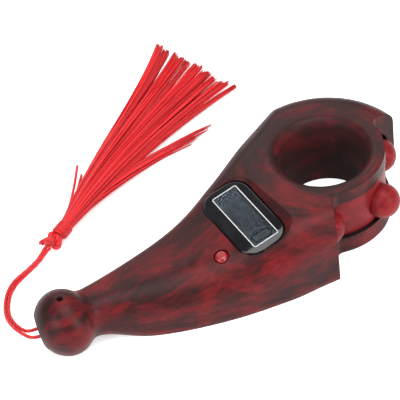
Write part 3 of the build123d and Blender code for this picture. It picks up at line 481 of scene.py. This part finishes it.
# Tubes: a ring of points about each point of each centre line, pushed out by that ring's radius times a
# lobe factor; the two ends close on a middle point.
def tubeArrays(lines, radii, sides, tones, lobe=None):
    count, rings = lines.shape[:2]
    ahead = np.gradient(lines, axis=1)
    ahead /= np.linalg.norm(ahead, axis=2, keepdims=True)
    flat = np.cross(ahead, (0.0, 0.0, 1.0))
    flat /= np.linalg.norm(flat, axis=2, keepdims=True)
    above = np.cross(flat, ahead)
    steps = np.linalg.norm(np.diff(lines, axis=1), axis=2)
    along = np.concatenate([np.zeros((count, 1)), np.cumsum(steps, axis=1)], axis=1)
    turn = np.arange(sides) / sides
    angle = 2 * np.pi * turn
    shape = (count, rings, sides)
    factor = np.ones(shape) if lobe is None else lobe(along[:, :, None], turn[None, None, :])
    out = np.cos(angle)[:, None] * flat[:, :, None, :] + np.sin(angle)[:, None] * above[:, :, None, :]
    shell = lines[:, :, None, :] + out * (radii[:, :, None] * factor)[:, :, :, None]
    ring = np.arange(count)[:, None, None] * (rings * sides) + np.arange(rings - 1)[None, :, None] * sides
    side = np.arange(sides)[None, None, :]
    after = (side + 1) % sides
    quads = np.stack([ring + side, ring + sides + side, ring + sides + after, ring + after], axis=-1)
    ends = count * rings * sides + np.arange(count)[:, None] * 2
    start = np.arange(count)[:, None] * (rings * sides)
    edge, edgeNext = side[0], after[0]
    last = start + (rings - 1) * sides
    caps = np.concatenate([
        np.stack([start + edge, start + edgeNext, np.broadcast_to(ends, (count, sides))], axis=-1),
        np.stack([last + edgeNext, last + edge, np.broadcast_to(ends + 1, (count, sides))], axis=-1),
    ])
    points = np.concatenate([shell.reshape(-1, 3), lines[:, [0, -1]].reshape(-1, 3)])
    measures = {
        label: np.concatenate([np.broadcast_to(values, shape).ravel(), atEnds])
        for label, values, atEnds in (
            ("along", along[:, :, None], along[:, [0, -1]].ravel()),
            ("around", turn, np.zeros(2 * count)),
            ("tone", tones[:, None, None], np.repeat(tones, 2)),
        )
    }
    return points, quads.reshape(-1, 4), caps.reshape(-1, 3), measures


def putTubes(name, lines, radii, sides, tones, material, lobe=None):
    points, quads, caps, measures = tubeArrays(lines, radii, sides, tones, lobe)
    return putMesh(name, points, quads, caps, material, measures, "case")


# The section's edge rises and falls once per ply, and turns along the thread
def plyLobe(look):
    plies, twist, depth = look["plies"], look["twist"], look["depth"]
    return lambda along, turn: 1.0 - depth + depth * np.abs(np.cos(np.pi * (plies * turn + twist * along)))


# cords

cordRoutes = {  # millimetres, from the ball's mouth to the knot
    "cordNear": [
        (-74.563, 2.902, 6.452), (-75.406, 3.176, 6.295), (-76.75, 3.55, 6.3), (-77.25, 4.5, 5.95),
        (-77.73, 7.65, 4.9), (-77.41, 11.94, 3.6), (-76.04, 15.91, 2.2), (-73.63, 20.17, 1.1),
        (-71.0, 22.73, 0.75), (-68.47, 23.77, 0.7), (-66.03, 24.54, 0.75), (-62.77, 25.37, 1.2),
        (-60.461, 26.134, 2.35), (-59.125, 26.815, 2.35),
    ],
    "cordFar": [
        (-75.302, 0.629, 6.452), (-76.144, 0.902, 6.295), (-77.45, 1.6, 6.4), (-78.2, 3.7, 5.95),
        (-78.67, 7.6, 4.9), (-78.33, 12.12, 3.6), (-76.9, 16.31, 2.2), (-74.39, 20.73, 1.1),
        (-71.54, 23.51, 0.75), (-68.79, 24.65, 0.7), (-66.29, 25.44, 0.75), (-63.03, 26.27, 1.2),
        (-60.911, 27.016, 2.35), (-59.574, 27.697, 2.35),
    ],
}
cordLook = {
    "diameter": 0.84 * mm, "rings": 420, "sides": 20, "plies": 3, "twist": 600.0, "depth": 0.13,
    "closeFrom": 0.08, "closeTo": 0.97, "turns": 0.25, "twistFrom": 0.50, "twistTo": 0.85,
    "apart": 0.40 * mm, "closePower": 0.3, "tone": 0.7,
    "node": {"cordNear": "cord_strand_a", "cordFar": "cord_strand_b"},
}


def routeLine(name, route):  # the smooth line of a spline with the route's points as its control points
    curve = bpy.data.curves.new(name, "CURVE")
    curve.dimensions, curve.resolution_u = "3D", 16
    spline = curve.splines.new("NURBS")
    spline.points.add(len(route) - 1)
    spline.points.foreach_set("co", np.c_[np.array(route) * mm, np.ones(len(route))].ravel())
    spline.order_u = 3
    spline.use_endpoint_u = True
    holder = bpy.data.objects.new(name, curve)
    scene.collection.objects.link(holder)
    mesh = bpy.data.meshes.new_from_object(holder)
    line = np.empty(len(mesh.vertices) * 3)
    mesh.vertices.foreach_get("co", line)
    bpy.data.objects.remove(holder)
    bpy.data.curves.remove(curve)
    bpy.data.meshes.remove(mesh)
    return line.reshape(-1, 3)


def evenly(line, count):  # the same line with points at even steps of its length
    reach = np.concatenate([[0.0], np.cumsum(np.linalg.norm(np.diff(line, axis=0), axis=1))])
    wanted = np.linspace(0.0, reach[-1], count)
    return np.stack([np.interp(wanted, reach, line[:, k]) for k in range(3)], axis=1)


# The two strands turn slowly round each other: about the line midway between their routes, each keeps to its
# own side at a set distance, and the pair is turned by a share of a turn over the middle of the way.
def twistPair(near, far, look):
    t = np.linspace(0.0, 1.0, len(near))
    held = np.clip((t - look["closeFrom"]) / (look["closeTo"] - look["closeFrom"]), 0.0, 1.0)
    close = np.sin(np.pi * held)[:, None] ** look["closePower"]
    into = np.clip((t - look["twistFrom"]) / (look["twistTo"] - look["twistFrom"]), 0.0, 1.0)
    angle = 2 * np.pi * look["turns"] * (3 * into**2 - 2 * into**3)
    middle, half = (near + far) / 2, (near - far) / 2
    middle[:, 2] = np.maximum(middle[:, 2], close[:, 0] * (look["apart"] + look["diameter"] / 2))
    ahead = np.gradient(middle, axis=0)
    ahead /= np.linalg.norm(ahead, axis=1, keepdims=True)
    aside = half - ahead * np.sum(half * ahead, axis=1, keepdims=True)
    aside /= np.linalg.norm(aside, axis=1, keepdims=True)
    above = np.cross(ahead, aside)
    wanted = (np.cos(angle)[:, None] * aside + np.sin(angle)[:, None] * above) * look["apart"]
    offset = half + (wanted - half) * close
    return middle + offset, middle - offset


routeLines = [evenly(routeLine(name, route), cordLook["rings"]) for name, route in cordRoutes.items()]
cordLines = dict(zip(cordRoutes, twistPair(*routeLines, cordLook)))
for name, line in cordLines.items():
    radii = np.full((1, len(line)), cordLook["diameter"] / 2)
    tones = np.array([cordLook["tone"]])
    piece = putTubes(
        name, line[None], radii, cordLook["sides"], tones, finishes["cord"], plyLobe(cordLook)
    )
    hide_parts(cordLook["node"][name])
print("cords laid")


# tassel

tassel = {
    "seed": 11, "turn": 27.0, "knot": (-57.3, 28.3, 2.35), "knotHalf": 2.3, "neck": 3.4,
    "fan": {
        "turn": 28.7, "threads": 480, "clumps": 17, "pull": (0.22, 0.66), "radius": 0.18, "open": 0.36,
        "reach": 1.4, "slope": 3.7, "ragged": 2.4, "wave": 0.3, "split": 1.5, "wisp": 0.09, "taper": 0.45,
    },
    "lock": {
        "turn": 13.0, "threads": 48, "clumps": 5, "pull": (0.90, 0.97), "radius": 0.19, "open": 0.0,
        "reach": -0.6, "slope": 5.2, "ragged": 2.2, "wave": 0.2, "split": 1.2, "wisp": 0.5, "taper": 0.8,
    },
    "rings": 24, "sides": 5, "within": 0.92, "narrowed": 0.985, "thinnest": 0.85, "thickest": 1.15,
    "mostPull": 0.97, "intoKnot": 0.6, "clumpWidths": (0.5, 1.5), "clumpShift": 0.3, "waves": (1.0, 2.6),
    "fanRows": (  # way along, aside, half width, half height, height of the middle
        (0.0, 0.0, 1.4, 1.4, 2.35), (13.0, 0.9, 3.6, 1.8, 1.95),
        (36.0, 0.9, 7.2, 1.3, 1.45), (62.0, -0.1, 13.4, 0.55, 0.75),
    ),
    "lockRows": (
        (0.0, 0.0, 1.1, 1.1, 2.35), (11.3, 1.7, 1.4, 1.1, 1.7), (22.0, 2.1, 1.2, 1.0, 1.2),
        (31.0, 1.0, 1.4, 0.9, 1.0), (46.0, -1.9, 1.7, 0.7, 0.8),
    ),
}
draw = np.random.default_rng(tassel["seed"])


def heading(turn):  # unit vectors ahead and to the left on the table
    a = math.radians(turn)
    return np.array((math.cos(a), math.sin(a), 0.0)), np.array((-math.sin(a), math.cos(a), 0.0))


tasselAhead, tasselLeft = heading(tassel["turn"])
knotMiddle = np.array(tassel["knot"])
neckStart = knotMiddle + tasselAhead * tassel["knotHalf"]
neckEnd = neckStart + tasselAhead * tassel["neck"]


# Threads of a bundle: each keeps its place (u, v) in an oval section whose half width, half height and
# middle height change along the bundle; towards the tips the threads of a clump draw together.
def bundleLines(rows, look):
    ahead, left = heading(look["turn"])
    rows = np.array(rows)
    count, rings = look["threads"], tassel["rings"]
    u = draw.uniform(-1.0, 1.0, count)
    v = draw.uniform(-1.0, 1.0, count) * np.sqrt(1.0 - u**2) * tassel["within"]
    edges = np.concatenate([[0.0], np.cumsum(draw.uniform(*tassel["clumpWidths"], look["clumps"]))])
    edges = edges / edges[-1] * 2.0 - 1.0
    clump = np.searchsorted(edges, u).clip(1, look["clumps"]) - 1
    shift = draw.uniform(-tassel["clumpShift"], tassel["clumpShift"], look["clumps"])
    clumpMiddle = ((edges[1:] + edges[:-1]) / 2 + np.diff(edges) * shift)[clump]
    clumpShort = draw.uniform(0.0, 1.0, look["clumps"])[clump]
    clumpPull = draw.uniform(*look["pull"], look["clumps"])[clump]
    clumpPull = np.clip(clumpPull + look["open"] * (0.5 - clumpMiddle) / 1.5, 0.0, tassel["mostPull"])
    full = rows[-1, 0] + look["reach"] + clumpMiddle * look["slope"]
    full = full - look["ragged"] * (0.5 * clumpShort + 0.5 * draw.uniform(0.0, 1.0, count))
    t = np.linspace(0.0, 1.0, rings)[None, :]
    behind = tassel["neck"] + tassel["intoKnot"]
    along = -behind + (full[:, None] + behind) * t
    grown = np.clip(along, 0.0, None)
    curves = [np.polyfit(rows[:, 0], rows[:, k], 3) for k in (1, 2, 3, 4)]
    aside, wide, tall, middle = [np.polyval(curve, grown) for curve in curves]
    share = (grown / rows[-1, 0]) ** look["split"]
    place = u[:, None] + (clumpMiddle - u)[:, None] * clumpPull[:, None] * share
    place = place - look["wisp"] * share * (clump == 0)[:, None]  # the nearest clump strays outwards
    phase = draw.uniform(0, 2 * np.pi, (2, count, 1))
    speed = draw.uniform(*tassel["waves"], (2, count, 1))
    sway = look["wave"] * np.sin(phase + speed * np.pi * t) * t
    acrossRow = aside + place * wide * tassel["narrowed"] + sway[0]
    height = middle + v[:, None] * tall + 0.5 * sway[1]
    ahead3 = np.where(along[:, :, None] > 0, ahead, tasselAhead)
    left3 = np.where(along[:, :, None] > 0, left, tasselLeft)
    lines = neckEnd + ahead3 * along[:, :, None] + left3 * acrossRow[:, :, None]
    lines[:, :, 2] = np.maximum(height, tassel["thickest"] * look["radius"])
    thickness = draw.uniform(tassel["thinnest"], tassel["thickest"], (count, 1))
    radii = look["radius"] * (1.0 - look["taper"] * t**6) * thickness
    return lines * mm, radii * mm


bundles = {
    "tasselFan": bundleLines(tassel["fanRows"], tassel["fan"]),
    "tasselLock": bundleLines(tassel["lockRows"], tassel["lock"]),
}
for name, (lines, radii) in bundles.items():
    tones = draw.uniform(0, 1, len(lines))
    piece = putTubes(name, lines, radii, tassel["sides"], tones, finishes["tassel"])
    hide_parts("tassel_skirt")

strayLook = {
    "radius": 0.33, "rings": 18, "sides": 6, "tones": (0.7, 0.3),
    "ends": ((-39.6, 48.6, 0.5), (-40.4, 45.2, 0.45)), "bow": 0.5, "bowWay": (0.45, -0.9, 0.25), "aside": 0.9,
}


def strayLines(look):  # short loose threads: a bowed line from the neck's end out to the table
    t = np.linspace(0.0, 1.0, look["rings"])[None, :, None]
    ends = np.array(look["ends"])[:, None, :]
    start = (neckEnd + tasselLeft * look["aside"])[None, None, :]
    bow = np.sin(np.pi * t) * look["bow"] * np.array(look["bowWay"])
    return (start + (ends - start) * t + bow) * mm


strays = strayLines(strayLook)
strayRadii = np.full(strays.shape[:2], strayLook["radius"] * mm)
strayTones = np.array(strayLook["tones"])
putTubes("tasselStrays", strays, strayRadii, strayLook["sides"], strayTones, finishes["tassel"])
print("tassel threads:", sum(len(lines) for lines, radii in bundles.values()) + len(strays))

upward = np.array((0, 0, 1.0))
knotLook = {
    "wire": 0.80, "rings": 220, "sides": 14, "scale": 0.50, "rise": 0.95, "tone": 0.65,
    "plies": 3, "twist": 300.0, "depth": 0.14,
}


# Knot: a cord on a trefoil, x = sin t + 2 sin 2t, y = cos t - 2 cos 2t, z = -sin 3t
def knotLines(look):
    t = np.linspace(0.0, 2 * np.pi, look["rings"])
    flatX = (np.sin(t) + 2 * np.sin(2 * t)) * look["scale"]
    flatY = (np.cos(t) - 2 * np.cos(2 * t)) * look["scale"]
    rise = -np.sin(3 * t) * look["rise"]
    flat = flatX[:, None] * tasselAhead + flatY[:, None] * tasselLeft
    return (knotMiddle + flat + rise[:, None] * upward) * mm


knotLine = knotLines(knotLook)[None]
knotRadii = np.full((1, knotLook["rings"]), knotLook["wire"] * mm)
knotTone = np.array([knotLook["tone"]])
knotPiece = putTubes(
    "tasselKnot", knotLine, knotRadii, knotLook["sides"], knotTone,
    finishes["cord"], plyLobe(knotLook),
)
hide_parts("tassel_knot")

coreLook = {"radius": 1.35, "stretch": 1.5, "blunt": 2.15, "rings": 24, "sides": 18, "tone": 0.35}


def coreLine(look):  # an egg along the tassel inside the knot: its radius follows a cosine from end to end
    s = np.linspace(-1.0, 1.0, look["rings"])
    line = knotMiddle + s[:, None] * look["radius"] * look["stretch"] * tasselAhead
    return line[None] * mm, (np.cos(s * np.pi / look["blunt"]) * look["radius"])[None] * mm


corePoints, coreRadii = coreLine(coreLook)
coreTone = np.array([coreLook["tone"]])
corePiece = putTubes(
    "knotCore", corePoints, coreRadii, coreLook["sides"], coreTone, finishes["cord"]
)

tuftLook = {
    "threads": 24, "radius": 0.19, "rings": 9, "sides": 5, "aside": 1.2, "spread": 0.26, "stray": 0.11,
    "back": 0.8, "out": 0.9, "lengths": (1.6, 2.0), "sag": 0.5, "flatten": (1, 1, 0.6),
}


def tuftLines(look):  # frayed ends: short bent threads that fan out behind the knot
    count = look["threads"]
    t = np.linspace(0.0, 1.0, look["rings"])[None, :, None]
    start = knotMiddle + tasselLeft * look["aside"] + draw.normal(0.0, look["spread"], (count, 1, 3))
    out = -tasselAhead * look["back"] + tasselLeft * look["out"]
    out = out + draw.normal(0.0, look["stray"], (count, 1, 3)) * look["flatten"]
    lengths = draw.uniform(*look["lengths"], (count, 1, 1))
    return (start + out * t * lengths - look["sag"] * upward * t**2) * mm


tuftSpots = tuftLines(tuftLook)
tuftRadii = np.full(tuftSpots.shape[:2], tuftLook["radius"] * mm)
tuftTones = draw.uniform(0, 1, len(tuftSpots))
tuftPiece = putTubes(
    "knotTuft", tuftSpots, tuftRadii, tuftLook["sides"], tuftTones, finishes["tassel"]
)

bindingLook = {
    "turns": 5.0, "pitch": 0.56, "start": 0.2, "reach": 1.55, "wire": 0.36, "rings": 260, "sides": 12,
    "plies": 3, "twist": 420.0, "depth": 0.14, "tone": 0.6,
}


# Binding: a helix round the neck, a point at reach from the neck's line that moves on by one pitch a turn
def bindingLine(look):
    turns = np.linspace(0.0, look["turns"], look["rings"])
    a = 2 * np.pi * turns
    ahead = neckStart + (look["start"] + look["pitch"] * turns)[:, None] * tasselAhead
    return (ahead + look["reach"] * (np.cos(a)[:, None] * tasselLeft + np.sin(a)[:, None] * upward)) * mm


bindingRadii = np.full((1, bindingLook["rings"]), bindingLook["wire"] * mm)
bindingTone = np.array([bindingLook["tone"]])
bindingPiece = putTubes(
    "tasselBinding", bindingLine(bindingLook)[None], bindingRadii, bindingLook["sides"], bindingTone,
    finishes["cord"], plyLobe(bindingLook),
)
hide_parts("tassel_binding")

print("knot and binding made")


# display

# Points on the display's own plane: u along the handle, v across it, w out of it
def displaySpots(u, v, w):
    ways = [np.multiply.outer(measure, axis) for measure, axis in zip((u, v, w), displayAxes())]
    return (np.array(display["center"]) + ways[0] + ways[1] + ways[2]) * mm


printLook = {"line": 0.22, "corner": 0.30, "lift": 0.004, "thickness": 0.03, "steps": 6}


# Rounded rectangle: a quarter circle about each inset corner, one after the other
def roundedLoop(halfU, halfV, corner, steps):
    a = np.linspace(0, np.pi / 2, steps)
    turns = np.concatenate([a + k * np.pi / 2 for k in range(4)])
    signU = np.repeat((1, -1, -1, 1), steps)
    signV = np.repeat((1, 1, -1, -1), steps)
    u = signU * (halfU - corner) + corner * np.cos(turns)
    return u, signV * (halfV - corner) + corner * np.sin(turns)


# Printed frame: a section of four corners (inner low, inner high, outer high, outer low) carried round the
# rounded rectangle
def frameMesh(look):
    halfU, halfV = display["windowWidth"] / 2, display["windowLength"] / 2
    innerU, innerV = roundedLoop(halfU, halfV, look["corner"], look["steps"])
    line, corner = look["line"], look["corner"] + look["line"]
    outerU, outerV = roundedLoop(halfU + line, halfV + line, corner, look["steps"])
    low, high = np.full_like(innerU, look["lift"]), np.full_like(innerU, look["thickness"])
    u = np.stack([innerU, innerU, outerU, outerU]) + display["shift"]
    points = displaySpots(u, np.stack([innerV, innerV, outerV, outerV]), np.stack([low, high, high, low]))
    count = u.shape[1]
    row, step = np.arange(4)[:, None] * count, np.arange(count)[None, :]
    after, nextRow = (step + 1) % count, np.roll(row, -1)
    quads = np.stack([row + step, nextRow + step, nextRow + after, row + after], axis=-1)
    return points.reshape(-1, 3), quads.reshape(-1, 4)


noTriangles = np.zeros((0, 3), int)
printWhite = makePlain("whitePrint", (0.50, 0.52, 0.53), 0.45, 0.6, 1600.0, 0.08)
framePoints, frameQuads = frameMesh(printLook)
putMesh("displayFrame", framePoints, frameQuads, noTriangles, printWhite, {}, "case")

digitLook = {
    "height": 4.3, "width": 2.2, "bar": 0.42, "gap": 0.07, "lean": 0.06,
    "middle": (0.0, -6.3), "lift": 0.002, "thickness": 0.02,
}


# Segments: six-sided bars with pointed ends, each a prism; the bars stand round a rectangle as in a
# seven-bar zero
def segmentMesh(look):
    halfH, halfW, bar = look["height"] / 2, look["width"] / 2, look["bar"] / 2
    bars = [(0, halfH, "flat"), (0, -halfH, "flat")]
    bars += [(s * halfW, k * halfH / 2, "up") for s in (-1, 1) for k in (-1, 1)]
    points, quads = [], []
    for across, rise, kind in bars:
        half = halfW - look["gap"] if kind == "flat" else halfH / 2 - look["gap"]
        lengthwise = np.array((-half, -half + bar, half - bar, half, half - bar, -half + bar))
        sideways = np.array((0, bar, bar, 0, -bar, -bar))
        x, y = (lengthwise, sideways) if kind == "flat" else (sideways, lengthwise)
        x, y = x + across + (y + rise) * look["lean"], y + rise
        u = np.tile(y, 2) + display["shift"] + look["middle"][0]
        v = np.tile(-x, 2) + look["middle"][1]
        w = np.repeat((look["lift"], look["thickness"]), 6) - display["lensThickness"]
        base = 12 * len(points)
        step = np.arange(6)
        after = (step + 1) % 6
        walls = np.stack([step, after, after + 6, step + 6], axis=-1)
        lids = np.array([(6, 7, 8, 11), (11, 8, 9, 10), (0, 5, 2, 1), (5, 4, 3, 2)])
        points.append(displaySpots(u, v, w))
        faces = np.concatenate([walls, lids]) + base
        quads.append(faces[:, ::-1] if kind == "flat" else faces)  # lying bars mirror standing ones
    return np.concatenate(points), np.concatenate(quads)


digitInk = makePlain("displayInk", (0.010, 0.014, 0.020), 0.4, 0.55, 1200.0, 0.1)
digitPoints, digitQuads = segmentMesh(digitLook)
putMesh("displayZero", digitPoints, digitQuads, noTriangles, digitInk, {}, "case")
print("display printed")


# floor

floorLook = {
    "half": 1.5, "below": 0.05 * mm,
    "sockets": {
        "Base Color": (0.90, 0.90, 0.90, 1.0), "Roughness": 0.9,
        "Emission Color": (1.0, 1.0, 1.0, 1.0), "Emission Strength": 0.45,
    },
}
floorMaterial = startMaterial("paleFloor", **floorLook["sockets"])[0]
corners = floorLook["half"] * np.array(((-1, -1, 0), (1, -1, 0), (1, 1, 0), (-1, 1, 0)))
floorMesh = bpy.data.meshes.new("paleFloor")
floorMesh.from_pydata((corners - (0, 0, floorLook["below"])).tolist(), [], [(0, 1, 2, 3)])
floorMesh.materials.append(floorMaterial)
floorHolder = bpy.data.objects.new("paleFloor", floorMesh)
scene.collection.objects.link(floorHolder)
